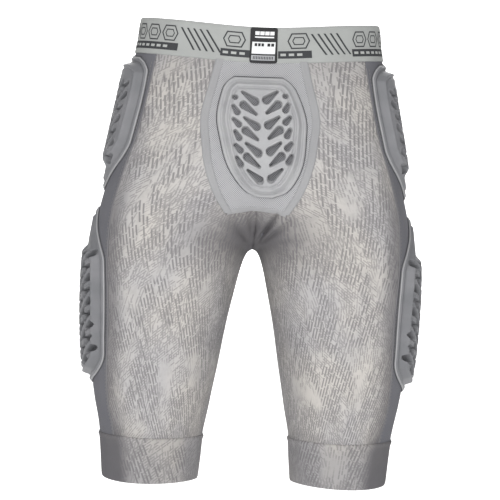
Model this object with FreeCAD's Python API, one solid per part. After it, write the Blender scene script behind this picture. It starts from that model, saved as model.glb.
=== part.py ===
import FreeCAD, Part

import math
import os

# Padded impact shorts: elastic waistband, printed stretch panels, plain side panels, and five moulded
# lattice pads (tailbone, two hips, two thighs), in the shape they take when worn. Millimetres.
# Frame: +X to the wearer's right, +Y to the wearer's front, +Z up. The origin is the middle of the waist
# opening. Heights in this file are measured up from the hem, and WAIST_HEIGHT is the origin's height.

WAIST_HEIGHT = 566.0
FABRIC = 1.6            # thickness of one panel of stretch fabric
BAND = 2.6              # waistband elastic and folded cuffs
SEAM_GAP = 1.0          # clearance between panels that are sewn edge to edge
CUFF_HEIGHT = 57.0
BAND_HEIGHT = 43.0
LEG_TOP = 283.0         # the highest level of the panels that swing with a leg

# The worn body, one row per level: height, outermost x, leg centre x, back y, front y, squareness.
# A section is a rounded oval about the leg's centre, and the two legs' ovals merge above the crotch.
SECTIONS = (
    (0.0, 176.0, 117.0, -62.0, 64.0, 2.0),
    (58.0, 182.0, 117.5, -67.0, 69.0, 2.0),
    (100.0, 190.0, 118.0, -75.0, 76.0, 2.0),
    (170.0, 197.0, 115.5, -86.0, 86.0, 2.05),
    (231.0, 199.0, 110.0, -94.0, 93.0, 2.1),
    (286.0, 197.0, 102.0, -104.0, 98.0, 2.2),
    (335.0, 191.0, 84.0, -120.0, 101.0, 2.35),
    (375.0, 181.0, 62.0, -129.0, 104.0, 2.4),
    (420.0, 171.0, 38.0, -129.0, 106.0, 2.4),
    (470.0, 162.0, 17.0, -118.0, 105.0, 2.3),
    (520.0, 154.0, 4.0, -104.0, 102.0, 2.2),
    (545.0, 149.0, 0.0, -101.0, 100.0, 2.15),
    (590.0, 143.0, 0.0, -99.0, 99.0, 2.15),
)
CROTCH_BLEND = 22.0      # how softly the two legs run together at the crotch
BLEND_TOP = 470.0        # above this level the section is one plain oval
BLEND_DEPTH = 100.0

# Half widths of shaped pieces against height.
TAILBONE_PAD = ((358, 9), (364, 25), (379, 38), (401, 48), (428, 53), (457, 55), (490, 45), (500, 37),
                (505, 30))
MESH_PANEL = ((332, 29), (366, 50), (400, 62), (427, 66), (458, 68), (500, 58), (545, 47))
HIP_PAD = ((360, 9), (372, 26), (395, 54), (410, 66), (424, 70), (505, 63), (517, 51), (522, 38))
THIGH_PAD = ((120, 8), (133, 36), (150, 54), (168, 58), (272, 62), (295, 48), (318, 23), (334, 7))
SIDE_PANEL = ((0, 48), (58, 50), (120, 56), (200, 67), (280, 67), (330, 67), (362, 68), (395, 72),
              (430, 77), (500, 72), (590, 59))

BINDING_WIDTH = 9.0
BINDING_BOTTOM = 344.0
LABEL_WIDTH = 33.0
LABEL_CENTRE = 4.0
LABEL_LEAN = 0.035
GUSSET_WIDTH = 11.0
GUSSET_BACK, GUSSET_FRONT = -36.0, 30.0

PAD_EDGE = 2.6           # thickness of a pad's stitched flange
SIDE_PAD_RISE = 13.0
TAILBONE_RISE = 9.0


def curve(keys, column):
    """A smooth function through one column of a table whose first column rises."""
    xs = [float(row[0]) for row in keys]
    ys = [float(row[column]) for row in keys]
    slopes = []
    for i in range(len(xs)):
        a, b = max(i - 1, 0), min(i + 1, len(xs) - 1)
        slopes.append((ys[b] - ys[a]) / (xs[b] - xs[a]))

    def value(x):
        x = min(max(x, xs[0]), xs[-1])
        i = 0
        while i < len(xs) - 2 and x > xs[i + 1]:
            i += 1
        h = xs[i + 1] - xs[i]
        t = (x - xs[i]) / h
        return (
            (2 * t ** 3 - 3 * t ** 2 + 1) * ys[i]
            + (t ** 3 - 2 * t ** 2 + t) * h * slopes[i]
            + (3 * t ** 2 - 2 * t ** 3) * ys[i + 1]
            + (t ** 3 - t ** 2) * h * slopes[i + 1]
        )

    return value


OUTER_X, CENTRE_X, BACK_Y, FRONT_Y, SQUARE = (curve(SECTIONS, c) for c in range(1, 6))
_levels = {}


def smooth(t):
    """Rises from 0 to 1 with level ends."""
    t = min(max(t, 0.0), 1.0)
    return t * t * (3 - 2 * t)


def level(height):
    """The section's numbers at a height: centre x and y, half widths, squareness and blend."""
    key = round(height, 4)
    if key not in _levels:
        cx = CENTRE_X(height)
        back, front = BACK_Y(height), FRONT_Y(height)
        blend = 0.01 + CROTCH_BLEND * smooth((BLEND_TOP - height) / BLEND_DEPTH)
        half_width, half_depth = OUTER_X(height) - cx, (front - back) / 2
        _levels[key] = (cx, (back + front) / 2, half_width, half_depth, SQUARE(height), blend)
    return _levels[key]


def oval(x, y, cx, cy, ax, ay, n):
    """Signed distance, near enough, from a rounded oval."""
    dx, dy = abs(x - cx), abs(y - cy)
    rho = ((dx / ax) ** n + (dy / ay) ** n) ** (1 / n)
    return math.hypot(dx, dy) * (1 - 1 / max(rho, 1e-6))


def field(x, y, height):
    """Negative inside the worn body, zero on its surface: the smooth union of both legs."""
    cx, cy, ax, ay, n, blend = level(height)
    a = oval(x, y, cx, cy, ax, ay, n)
    b = oval(x, y, -cx, cy, ax, ay, n)
    return min(a, b) - max(blend - abs(a - b), 0.0) ** 2 / (4 * blend)


def root(f, low, high, steps=34):
    """Where a rising function crosses zero."""
    for _ in range(steps):
        middle = (low + high) / 2
        if f(middle) < 0:
            low = middle
        else:
            high = middle
    return (low + high) / 2


def on_leg(angle, height):
    """A surface point of the right leg: angle 0 faces outwards, +90 degrees the front, in radians."""
    cx, cy = level(height)[:2]
    c, s = math.cos(angle), math.sin(angle)
    reach = min(260.0, cx / -c) if c < -1e-6 else 260.0  # never past the middle plane
    r = root(lambda d: field(cx + d * c, cy + d * s, height), min(5.0, reach), reach)
    return (cx + r * c, cy + r * s, height)


def on_back(x, height):
    """A surface point of the back at a given x."""
    cy = level(height)[1]
    return (x, cy - root(lambda d: field(x, cy - d, height), 5.0, 200.0), height)


def normal(p):
    """The outward unit normal of the body at a surface point."""
    h = 0.5
    g = [
        field(p[0] + h, p[1], p[2]) - field(p[0] - h, p[1], p[2]),
        field(p[0], p[1] + h, p[2]) - field(p[0], p[1] - h, p[2]),
        field(p[0], p[1], p[2] + h) - field(p[0], p[1], p[2] - h),
    ]
    size = math.sqrt(sum(v * v for v in g))
    return [v / size for v in g]


def crotch_height():
    """The height of the crotch point, where the two legs first meet."""
    return root(lambda z: -field(0.0, level(z)[1], z), 200.0, 330.0)


CROTCH = crotch_height()


def centre_angle(height, side):
    """The angle at which the right leg's section meets the middle plane; side is -1 back, +1 front."""
    if height <= CROTCH + 1e-3:
        return side * math.pi
    cx, cy = level(height)[:2]
    d = root(lambda d: field(0.0, cy + side * d, height), 0.0, 200.0)
    return math.atan2(side * d, -cx)


def side_angle(offset, height):
    """The angle of a line that runs offset mm round from the outermost line, + to the front."""
    return offset / level(height)[2]


def angle_at_back(x, height):
    """The angle about the leg's centre of the back's surface point at x."""
    p = on_back(x, height)
    cx, cy = level(height)[:2]
    return math.atan2(p[1] - cy, p[0] - cx)


def band_top(angle):
    """The waistband's upper edge: high at the sides, lower at the back and lowest in front."""
    return 563.8 + 6.8 * math.cos(2 * angle) - 9.0 * math.sin(angle)


def band_bottom(angle):
    return band_top(angle) - BAND_HEIGHT


def hip_line(y):
    """The slanted line round each hip above which the panels stay with the pelvis."""
    return 372.0 + 0.28 * y


def grid(rows, columns, place):
    """place(u, v) gives a surface point for u and v from 0 to 1."""
    return [[place(i / (columns - 1), j / (rows - 1)) for j in range(rows)] for i in range(columns)]


def walls_between(points, inner, outer, mirror, closed):
    """The faces of a solid over a grid of surface points, from inner to outer mm along the outward
    normal. inner and outer are numbers, or functions of u and v. A closed grid has no end walls."""
    columns, rows = len(points), len(points[0])
    faces, borders = [], []
    for offset in (outer, inner):
        sheet = []
        for i, column in enumerate(points):
            line = []
            for j, p in enumerate(column):
                d = offset(i / (columns - 1), j / (rows - 1)) if callable(offset) else offset
                n = normal(p)
                line.append(FreeCAD.Vector(
                    mirror * (p[0] + n[0] * d), p[1] + n[1] * d, p[2] + n[2] * d - WAIST_HEIGHT))
            sheet.append(line)
        surface = Part.BSplineSurface()
        surface.interpolate(sheet)
        u0, u1, v0, v1 = surface.bounds()
        faces.append(surface.toShape())
        borders.append([surface.uIso(u0).toShape(), surface.uIso(u1).toShape(),
                        surface.vIso(v0).toShape(), surface.vIso(v1).toShape()])
    for a, b in list(zip(*borders))[2 if closed else 0:]:
        faces.append(Part.makeRuledSurface(a, b))
    return faces


def sewn(faces):
    """A closed solid from its faces."""
    shell = Part.makeShell(faces)
    shell.sewShape()
    solid = Part.makeSolid(shell)
    if solid.Volume < 0:
        solid.reverse()
    return solid


def solid_between(points, inner, outer, mirror=1):
    """A panel: a closed solid over one grid of surface points."""
    return sewn(walls_between(points, inner, outer, mirror, False))


def ring_between(halves, inner, outer, mirror=1):
    """A closed band: two grids that share both their ends."""
    return sewn([f for half in halves for f in walls_between(half, inner, outer, mirror, True)])


SIDES = (("right", 1), ("left", -1))
made = {}


def keep(name, shape):
    """Puts a piece on the list to be written."""
    made[name] = shape


def leg_panel(name, start, end, bottom, top, rows=13, columns=15, quick_start=False):
    """A panel on each leg between two edge angles, which depend on height, and two levels, which depend
    on the angle's y. quick_start crowds its rows towards the bottom, where the crotch curve is flat."""
    def place(u, v):
        v = v * v if quick_start else v
        height = bottom(0.0) + v * (top(0.0) - bottom(0.0))
        for _ in range(4):
            a, b = start(height), end(height)
            p = on_leg(a + u * (b - a), height)
            height = bottom(p[1]) + v * (top(p[1]) - bottom(p[1]))
        a, b = start(height), end(height)
        inset = SEAM_GAP / 2 / max(level(height)[2], 60.0)
        a, b = a + inset, b - inset
        p = on_leg(a + u * (b - a), height)
        return (max(p[0], SEAM_GAP / 2), p[1], p[2])

    points = grid(rows, columns, place)
    for side, mirror in SIDES:
        keep(f"{name}_{side}", solid_between(points, -FABRIC, 0.0, mirror))


def side_edge(sign):
    """The side panel's back (-1) or front (+1) edge as an angle about the leg."""
    half = curve(SIDE_PANEL, 1)
    return lambda height: side_angle(sign * half(height), height)


def fixed(height):
    """A level edge."""
    return lambda y: height


def make_legs():
    """The panels that swing with each leg, below the crotch."""
    back_edge, front_edge = side_edge(-1), side_edge(1)
    low, high = fixed(CUFF_HEIGHT + SEAM_GAP), fixed(LEG_TOP)
    leg_panel("thigh_back_panel", lambda z: -math.pi, back_edge, low, high)
    leg_panel("thigh_front_panel", front_edge, lambda z: math.pi, low, high)
    leg_panel("thigh_side_panel", back_edge, front_edge, low, high)


def make_hip_zone():
    """The stretch of each panel that bends as the leg swings, from the crotch up to the hip line."""
    back_edge, front_edge = side_edge(-1), side_edge(1)
    low, high = fixed(CROTCH + 1.0), lambda y: hip_line(y) - SEAM_GAP
    leg_panel("hip_crease_back", lambda z: centre_angle(z, -1), back_edge, low, high, quick_start=True)
    leg_panel("hip_crease_front", front_edge, lambda z: centre_angle(z, 1), low, high, quick_start=True)
    leg_panel("hip_crease_side", back_edge, front_edge, low, high)


def make_pelvis():
    """The seat, front and side panels above the hip line, up to the waistband."""
    back_edge, front_edge = side_edge(-1), side_edge(1)
    mesh = curve(MESH_PANEL, 1)

    def seat_start(height):
        return angle_at_back(mesh(height) + SEAM_GAP, height)

    def panel(name, start, end, columns=11):
        def place(u, v):
            height = 450.0
            for _ in range(4):
                a, b = start(height), end(height)
                angle = a + u * (b - a)
                p = on_leg(angle, height)
                low = hip_line(p[1])
                high = band_bottom(math.atan2(p[1], p[0])) - SEAM_GAP
                height = low + v * (high - low)
            a, b = start(height), end(height)
            inset = SEAM_GAP / 2 / max(level(height)[2], 60.0)
            angle = a + inset + u * (b - a - 2 * inset)
            p = on_leg(angle, height)
            return (max(p[0], SEAM_GAP / 2), p[1], p[2])

        points = grid(10, columns, place)
        for side, mirror in SIDES:
            keep(f"{name}_{side}", solid_between(points, -FABRIC, 0.0, mirror))

    panel("seat_panel", seat_start, back_edge)
    panel("front_panel", front_edge, lambda z: centre_angle(z, 1))
    panel("hip_side_panel", back_edge, front_edge, 9)


def make_cuffs():
    """The folded cuffs."""
    halves = [grid(9, 13, lambda u, v: on_leg(start + u * math.pi, v * CUFF_HEIGHT))
              for start in (-math.pi, 0)]
    for side, mirror in SIDES:
        keep(f"cuff_{side}", ring_between(halves, 0.9 - BAND, 0.9, mirror))


def on_waist(angle, v):
    """A point on the waistband; angle is about the body's own axis."""
    height = band_bottom(angle) + v * BAND_HEIGHT
    cy = level(height)[1]
    c, s = math.cos(angle), math.sin(angle)
    r = root(lambda d: field(d * c, cy + d * s, height), 20.0, 260.0)
    return (r * c, cy + r * s, height)


def make_waist():
    """The waistband, and the size label sewn over the middle of its back."""
    halves = [grid(5, 15, lambda u, v: on_waist(start + u * math.pi, v))
              for start in (-math.pi / 2, math.pi / 2)]
    keep("waistband", ring_between(halves, -1.6, 1.0))

    def on_label(u, v):
        height = 527.5 + v * 38.0
        x = LABEL_CENTRE - LABEL_WIDTH / 2 + u * LABEL_WIDTH + LABEL_LEAN * (height - 547.0)
        return on_back(x, height)

    keep("waistband_label", solid_between(grid(5, 5, on_label), 1.3, 2.2))


def make_back():
    """The mesh panel that carries the tailbone pad, and the tape that binds its two long edges."""
    half = curve(MESH_PANEL, 1)

    def on_mesh(u, v):
        height = 400.0
        for _ in range(5):
            p = on_back((2 * u - 1) * half(height), height)
            low, high = hip_line(p[1]) + SEAM_GAP, band_bottom(math.atan2(p[1], p[0])) - SEAM_GAP
            height = low + v * (high - low)
        return on_back((2 * u - 1) * half(height), height)

    def on_tape(u, v):
        height = BINDING_BOTTOM + v * (band_bottom(-math.pi / 2) - 2.0 - BINDING_BOTTOM)
        return on_back(half(height) + (u - 0.5) * BINDING_WIDTH, height)

    keep("tailbone_mesh_panel", solid_between(grid(15, 15, on_mesh), -FABRIC, 0.0))
    for side, mirror in SIDES:
        keep(f"seat_binding_{side}", solid_between(grid(15, 4, on_tape), 0.9, 1.8, mirror))


def make_gusset():
    """The lining strip that backs the crotch seam."""
    def place(u, v):
        x, y = (u - 0.5) * GUSSET_WIDTH, GUSSET_BACK + v * (GUSSET_FRONT - GUSSET_BACK)
        return (x, y, root(lambda z: -field(x, y, z), 200.0, 350.0))

    keep("crotch_gusset", solid_between(grid(13, 7, place), -FABRIC - 1.6, -FABRIC - 0.5))


def slot(p, length, width, turn, across):
    """A leaf-shaped cutter through a pad at surface point p, turned from the across direction."""
    n = FreeCAD.Vector(*normal(p))
    across = (across - n * across.dot(n)).normalize()
    up = n.cross(across)
    if up.z < 0:
        up = up * -1
    along = across * math.cos(turn) + up * math.sin(turn)
    side = n.cross(along)
    centre = FreeCAD.Vector(p[0], p[1], p[2] - WAIST_HEIGHT) - n * 4
    corners = ((-0.5, 0), (-0.3, 0.5), (0.3, 0.5), (0.5, 0), (0.3, -0.5), (-0.3, -0.5), (-0.5, 0))
    outline = Part.makePolygon([centre + along * (length * a) + side * (width * b) for a, b in corners])
    return Part.Face(outline).extrude(n * 30)


def make_pad(outline, place, rise, slots, clear, rows, columns):
    """A moulded pad and the soft sheet behind its slots. place(w, height) is a surface point w mm
    round from the pad's middle; slots lists (w, height, length, width, turn)."""
    half = curve(outline, 1)
    low, high = outline[0][0], outline[-1][0]

    def outer(u, v):
        ends = min(v, 1 - v) * (high - low)
        sides = min(u, 1 - u) * 2 * half(low + v * (high - low))
        return clear + PAD_EDGE + rise * smooth((sides - 3) / 18) * smooth((ends - 3) / 18)

    points = grid(rows, columns, lambda u, v: place((2 * u - 1) * half(low + v * (high - low)),
                                                   low + v * (high - low)))
    shell = solid_between(points, clear, outer)
    cutters = []
    for w, height, length, width, turn in slots:
        a, b = place(w - 1, height), place(w + 1, height)
        cutters.append(slot(place(w, height), length, width, turn, FreeCAD.Vector(*b) - FreeCAD.Vector(*a)))
    shell = shell.cut(Part.Compound(cutters)).Solids[0]

    def behind(u, v):
        height = low + 16 + v * (high - low - 34)
        return place((2 * u - 1) * max(half(height) - 8, 4), height)

    backing = solid_between(grid(17, 11, behind), clear - 2.6, clear - 1.9)
    return shell, backing


def chevrons(columns, low, rows, pitch, length, width, turn, half):
    """Slots that climb outwards in rows, kept inside the pad's raised middle."""
    out = []
    for k in range(rows):
        for w in columns:
            height = low + k * pitch
            if abs(w) + length * 0.45 * math.cos(turn) < half(height + length * 0.4 * math.sin(turn)) - 13:
                out.append((w, height, length, width, math.copysign(turn, w)))
    return out


def lean(height):
    """The tailbone pad hangs a little to the right at its lower end."""
    return 0.1 * (505.0 - height) - 3.5


def make_pads():
    half = curve(TAILBONE_PAD, 1)
    slots = chevrons((-11.5, 11.5), 385, 7, 15.8, 22, 6.5, 0.6, lambda z: half(z) + 5)
    slots += chevrons((-30.0, 30.0), 404, 5, 17.0, 14, 5.5, 0.7, lambda z: half(z) + 2)
    shell, backing = make_pad(TAILBONE_PAD, lambda w, z: on_back(lean(z) + w, z),
                              TAILBONE_RISE, slots, 4.4, 19, 15)
    keep("tailbone_pad_shell", shell)
    keep("tailbone_pad_backing", backing)
    for name, outline, low, rows in (("hip_pad", HIP_PAD, 398, 7), ("thigh_pad", THIGH_PAD, 150, 10)):
        half = curve(outline, 1)
        slots = chevrons((-37.0, -12.5, 12.5, 37.0), low, rows, 16.5, 22, 7.0, 0.6, half)
        shell, backing = make_pad(outline, lambda w, z: on_leg(side_angle(w, z), z),
                                  SIDE_PAD_RISE - PAD_EDGE, slots, 3.3, 21, 17)
        for side, mirror in SIDES:
            for piece, shape in (("shell", shell), ("backing", backing)):
                if mirror < 0:
                    shape = shape.mirror(FreeCAD.Vector(0, 0, 0), FreeCAD.Vector(1, 0, 0))
                keep(f"{name}_{piece}_{side}", shape)


for step in (make_legs, make_hip_zone, make_pelvis, make_cuffs, make_waist, make_back, make_gusset,
             make_pads):
    step()
os.makedirs("parts", exist_ok=True)
for name, shape in sorted(made.items()):
    print(name, "ok" if shape.isValid() else "INVALID", round(shape.Volume), "mm3", len(shape.Solids))
    shape.exportStep(f"parts/{name}.step")
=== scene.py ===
"""Looks of the padded impact shorts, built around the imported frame.

Shapes are worked out in millimetres: x to the wearer's right, y to the front and z up from the hem.
`to_frame` turns them into metres in the frame. A lift is a distance off the worn body's surface.
"""
import math

import bpy
import numpy as np
from mathutils import Euler, Matrix, Vector


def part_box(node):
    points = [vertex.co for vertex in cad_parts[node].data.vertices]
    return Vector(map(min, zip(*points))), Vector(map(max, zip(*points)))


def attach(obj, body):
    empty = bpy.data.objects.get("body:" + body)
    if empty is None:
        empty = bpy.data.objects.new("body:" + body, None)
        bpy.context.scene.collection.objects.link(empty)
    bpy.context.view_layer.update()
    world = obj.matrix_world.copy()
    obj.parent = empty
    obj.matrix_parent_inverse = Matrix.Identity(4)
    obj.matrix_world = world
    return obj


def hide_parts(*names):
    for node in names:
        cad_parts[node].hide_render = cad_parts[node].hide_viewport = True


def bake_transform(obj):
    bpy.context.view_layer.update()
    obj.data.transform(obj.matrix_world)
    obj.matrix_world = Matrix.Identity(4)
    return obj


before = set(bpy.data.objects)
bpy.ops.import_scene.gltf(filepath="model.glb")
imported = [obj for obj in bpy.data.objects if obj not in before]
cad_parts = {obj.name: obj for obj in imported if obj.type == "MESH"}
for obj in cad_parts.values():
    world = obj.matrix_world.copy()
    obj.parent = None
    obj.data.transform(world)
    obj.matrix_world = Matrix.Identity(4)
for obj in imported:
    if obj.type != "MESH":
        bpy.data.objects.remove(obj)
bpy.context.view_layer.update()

MM = 1000  # millimetres in a metre

# The frame fixes these: the waist opening is the origin, and the cuffs end at the hem.
HEM = min(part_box("cuff_right")[0][2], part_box("cuff_left")[0][2])
WAIST_HEIGHT = -HEM * MM
CUFF_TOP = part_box("cuff_right")[1][2] * MM + WAIST_HEIGHT
SIDES = (("right", 1), ("left", -1))

# The waistband's height, its upper edge's mean level, and that edge's rise at the sides and fall in front.
BAND_HEIGHT, BAND_LEVEL, BAND_SIDE_RISE, BAND_FRONT_FALL = 43.0, 563.8, 6.8, 9.0

# Sections of the worn body: height, outermost x, leg centre x, back y, front y, squareness.
SECTIONS = np.array((
    (0, 176, 117, -62, 64, 2.0),
    (58, 182, 117.5, -67, 69, 2.0),
    (100, 190, 118, -75, 76, 2.0),
    (170, 197, 115.5, -86, 86, 2.05),
    (231, 199, 110, -94, 93, 2.1),
    (286, 197, 102, -104, 98, 2.2),
    (335, 191, 84, -120, 101, 2.35),
    (375, 181, 62, -129, 104, 2.4),
    (420, 171, 38, -129, 106, 2.4),
    (470, 162, 17, -118, 105, 2.3),
    (520, 154, 4, -104, 102, 2.2),
    (545, 149, 0, -101, 100, 2.15),
    (590, 143, 0, -99, 99, 2.15),
), dtype=float)

# Half widths of the shaped pieces against height.
TAILBONE_PAD = ((363, 9), (369, 24), (384, 37), (404, 46.5), (430, 51.5), (457, 53.5), (490, 44),
                (500, 36.5), (505, 29))
MESH_PANEL = ((332, 29), (366, 50), (400, 62), (427, 66), (458, 68), (500, 58), (545, 47))
HIP_PAD = ((360, 9), (372, 26), (395, 54), (410, 66), (424, 70), (505, 63), (517, 51), (522, 38))
THIGH_PAD = ((120, 8), (133, 36), (150, 54), (168, 58), (272, 62), (295, 48), (318, 23), (334, 7))
SIDE_PANEL = ((0, 48), (58, 50), (120, 56), (200, 67), (280, 67), (330, 67), (362, 68), (395, 72),
              (430, 77), (500, 72), (590, 59))

# The two legs' ovals run together below JOIN_TOP: the join is JOIN_DEPTH wide from JOIN_STRETCH lower down.
JOIN_TOP, JOIN_STRETCH, JOIN_DEPTH, LEAST_JOIN = 470, 100, 22.0, 0.01

# The searches for the surface start and end at these distances from their axis.
NEAREST, WAIST_NEAREST, FARTHEST, DEEPEST = 5.0, 20.0, 260.0, 200.0

# Creases that fan out from the crotch: angle from the right, length, half width, height.
CREASES = (
    (62, 66, 2.6, -5.4), (51, 66, 3.0, 2.2), (41, 70, 3.2, -3.0), (26, 76, 4.4, 1.4), (10, 80, 5.0, -1.8),
    (76, 60, 3.4, 2.2), (97, 58, 3.6, -2.4), (110, 62, 4.4, 1.4), (128, 66, 4.2, -2.2), (150, 76, 5.5, 1.2),
    (172, 80, 5.5, -1.6), (-14, 72, 5.5, -1.4), (196, 72, 5.5, -1.2),
)
CREASE_RISE = 6  # they meet this far above the crotch
CREASE_START, CREASE_END = 14, 22  # a crease rises and dies away over these lengths
CREASE_TOP, CREASE_FADE = 350, 14  # and none is left above this height

# Soft waves in the cloth: above the cuffs, and over the rest.
KNEE_WAVE, KNEE_HEIGHT, KNEE_SPREAD, KNEE_X, KNEE_COUNT = 0.9, 75, 38, 117, 5
SOFT_WAVE, WAVE_TOP, WAVE_FADE = 0.8, 520, 60
CUFF_CALM, CUFF_FADE = 45, 60  # the cloth lies smooth below this depth under a cuff's top


# ---------------- the body's surface

def curve(keys, column=1):
    """A smooth function through one column of a table."""
    table = np.array(keys, dtype=float)
    xs, ys = table[:, 0], table[:, column]
    slopes = np.empty(len(xs))
    slopes[1:-1] = (ys[2:] - ys[:-2]) / (xs[2:] - xs[:-2])
    slopes[0] = (ys[1] - ys[0]) / (xs[1] - xs[0])
    slopes[-1] = (ys[-1] - ys[-2]) / (xs[-1] - xs[-2])

    def value(x):
        x = np.clip(x, xs[0], xs[-1])
        i = np.clip(np.searchsorted(xs, x, side="right") - 1, 0, len(xs) - 2)
        h = xs[i + 1] - xs[i]
        t = (x - xs[i]) / h
        return (
            (2 * t ** 3 - 3 * t ** 2 + 1) * ys[i]
            + (t ** 3 - 2 * t ** 2 + t) * h * slopes[i]
            + (3 * t ** 2 - 2 * t ** 3) * ys[i + 1]
            + (t ** 3 - t ** 2) * h * slopes[i + 1]
        )

    return value


OUTER_X, CENTRE_X, BACK_Y, FRONT_Y, SQUARE = (curve(SECTIONS, c) for c in range(1, 6))


def smooth(t):
    """An even rise from 0 to 1 as t does, level at both ends."""
    t = np.clip(t, 0, 1)
    return t * t * (3 - 2 * t)


def level(z):
    """The right leg's oval at a height: centre x and y, half widths, squareness, and the join's width."""
    cx, back, front = CENTRE_X(z), BACK_Y(z), FRONT_Y(z)
    blend = LEAST_JOIN + JOIN_DEPTH * smooth((JOIN_TOP - z) / JOIN_STRETCH)
    return cx, (back + front) / 2, OUTER_X(z) - cx, (front - back) / 2, SQUARE(z), blend


def oval(x, y, cx, cy, ax, ay, n):
    """Rough distance outside a squared oval, negative inside it."""
    dx, dy = np.abs(x - cx), np.abs(y - cy)
    rho = np.maximum(((dx / ax) ** n + (dy / ay) ** n) ** (1 / n), 1e-6)
    return np.hypot(dx, dy) * (1 - 1 / rho)


def field(x, y, z):
    """Negative inside the worn body: the smooth union of both legs' ovals."""
    cx, cy, ax, ay, n, blend = level(z)
    a, b = oval(x, y, cx, cy, ax, ay, n), oval(x, y, -cx, cy, ax, ay, n)
    return np.minimum(a, b) - np.maximum(blend - np.abs(a - b), 0) ** 2 / (4 * blend)


def root(f, low, high, steps=34):
    """Where a rising function crosses zero, for arrays of brackets."""
    low, high = np.array(low, dtype=float), np.array(high, dtype=float)
    for _ in range(steps):
        middle = (low + high) / 2
        inside = f(middle) < 0
        low, high = np.where(inside, middle, low), np.where(inside, high, middle)
    return (low + high) / 2


def on_leg(angle, z):
    """Surface points of the right leg at an angle: 0 outwards, +90 degrees to the front."""
    cx, cy = level(z)[:2]
    c, s = np.cos(angle), np.sin(angle)
    reach = np.where(c < -1e-6, np.minimum(FARTHEST, cx / np.maximum(-c, 1e-6)), FARTHEST)
    r = root(lambda d: field(cx + d * c, cy + d * s, z), np.minimum(NEAREST, reach), reach)
    return np.stack([cx + r * c, cy + r * s, z + 0 * r], -1)


def on_back(x, z):
    """Surface points of the back at a given x."""
    cy = level(z)[1]
    d = root(lambda d: field(x, cy - d, z), NEAREST + 0 * (x + z), DEEPEST + 0 * (x + z))
    return np.stack([x + 0 * d, cy - d, z + 0 * d], -1)


# The height at which the legs part, in the middle plane.
CROTCH = float(root(lambda z: -field(0.0, level(z)[1], z), 200.0, 330.0))


def centre_angle(z, side):
    """Where the right leg's section meets the middle plane; side is -1 at the back, +1 in front."""
    z = np.asarray(z, dtype=float)
    above = np.maximum(z, CROTCH + 1e-3)
    cx, cy = level(above)[:2]
    d = root(lambda d: field(0.0, cy + side * d, above), 0 * above, DEEPEST + 0 * above)
    return np.where(z > CROTCH + 1e-3, np.arctan2(side * d, -cx), side * math.pi)


def side_angle(offset, z):
    """The angle on the right leg of a point `offset` mm round it from its side line, to the front."""
    return offset / level(z)[2]


def band_bottom(angle):
    """The waistband's lower edge: high at the sides and lowest in front."""
    return BAND_LEVEL - BAND_HEIGHT + BAND_SIDE_RISE * np.cos(2 * angle) - BAND_FRONT_FALL * np.sin(angle)


def on_waist(angle, up):
    """Points on the waistband, `up` mm above its lower edge; angle is about the body's own axis."""
    z = band_bottom(angle) + up
    cy = level(z)[1]
    c, s = np.cos(angle), np.sin(angle)
    r = root(lambda d: field(d * c, cy + d * s, z), WAIST_NEAREST + 0 * z, FARTHEST + 0 * z)
    return np.stack([r * c, cy + r * s, z], -1)


def normals(p):
    """Directions straight out of the body's surface, from differences over h."""
    h = 0.5
    x, y, z = p[..., 0], p[..., 1], p[..., 2]
    g = np.stack([
        field(x + h, y, z) - field(x - h, y, z),
        field(x, y + h, z) - field(x, y - h, z),
        field(x, y, z + h) - field(x, y, z - h),
    ], -1)
    return g / np.linalg.norm(g, axis=-1, keepdims=True)


def mirrored(p, sign):
    """Points of the right side, moved to the side that `sign` stands for."""
    return p * np.array([sign, 1, 1])


def drape(p):
    """How far the cloth stands off its smooth shape: creases at the crotch and soft waves elsewhere."""
    x, y, z = p[..., 0], p[..., 1], p[..., 2]
    ax, up = np.abs(x), z - CROTCH - CREASE_RISE
    r = np.hypot(x, up)
    turn = np.degrees(np.arctan2(up, x))
    folds = 0
    for angle, reach, width, height in CREASES:
        across = r * np.sin(np.radians(turn - angle))
        along = r * np.cos(np.radians(turn - angle))
        fold = height * np.exp(-(across / width) ** 2)
        folds = folds + fold * smooth(along / CREASE_START) * smooth((reach - along) / CREASE_END)
    folds = folds * smooth((CREASE_TOP - z) / CREASE_FADE)
    knee = KNEE_WAVE * np.exp(-((z - KNEE_HEIGHT) / KNEE_SPREAD) ** 2)
    knee = knee * np.sin(np.arctan2(y, ax - KNEE_X) * KNEE_COUNT + z / 19)
    wave = SOFT_WAVE * np.sin(z / 23 + 1.7 * np.sin(ax / 31)) * np.sin(ax / 37 + y / 41 + 0.8)
    calm = smooth((z - CUFF_TOP + CUFF_CALM) / CUFF_FADE)
    return (folds + knee + wave * smooth((WAVE_TOP - z) / WAVE_FADE)) * calm


def skin(p, lift=0.0, sign=1):
    """Points of the right side lifted off the draped cloth, which creases as the side `sign` does."""
    return p + normals(p) * (drape(mirrored(p, sign)) + lift)[..., None]


def to_frame(p):
    """From millimetres above the hem to metres in the frame."""
    return (p - np.array([0, 0, WAIST_HEIGHT])) / MM


# ---------------- meshes

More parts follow.
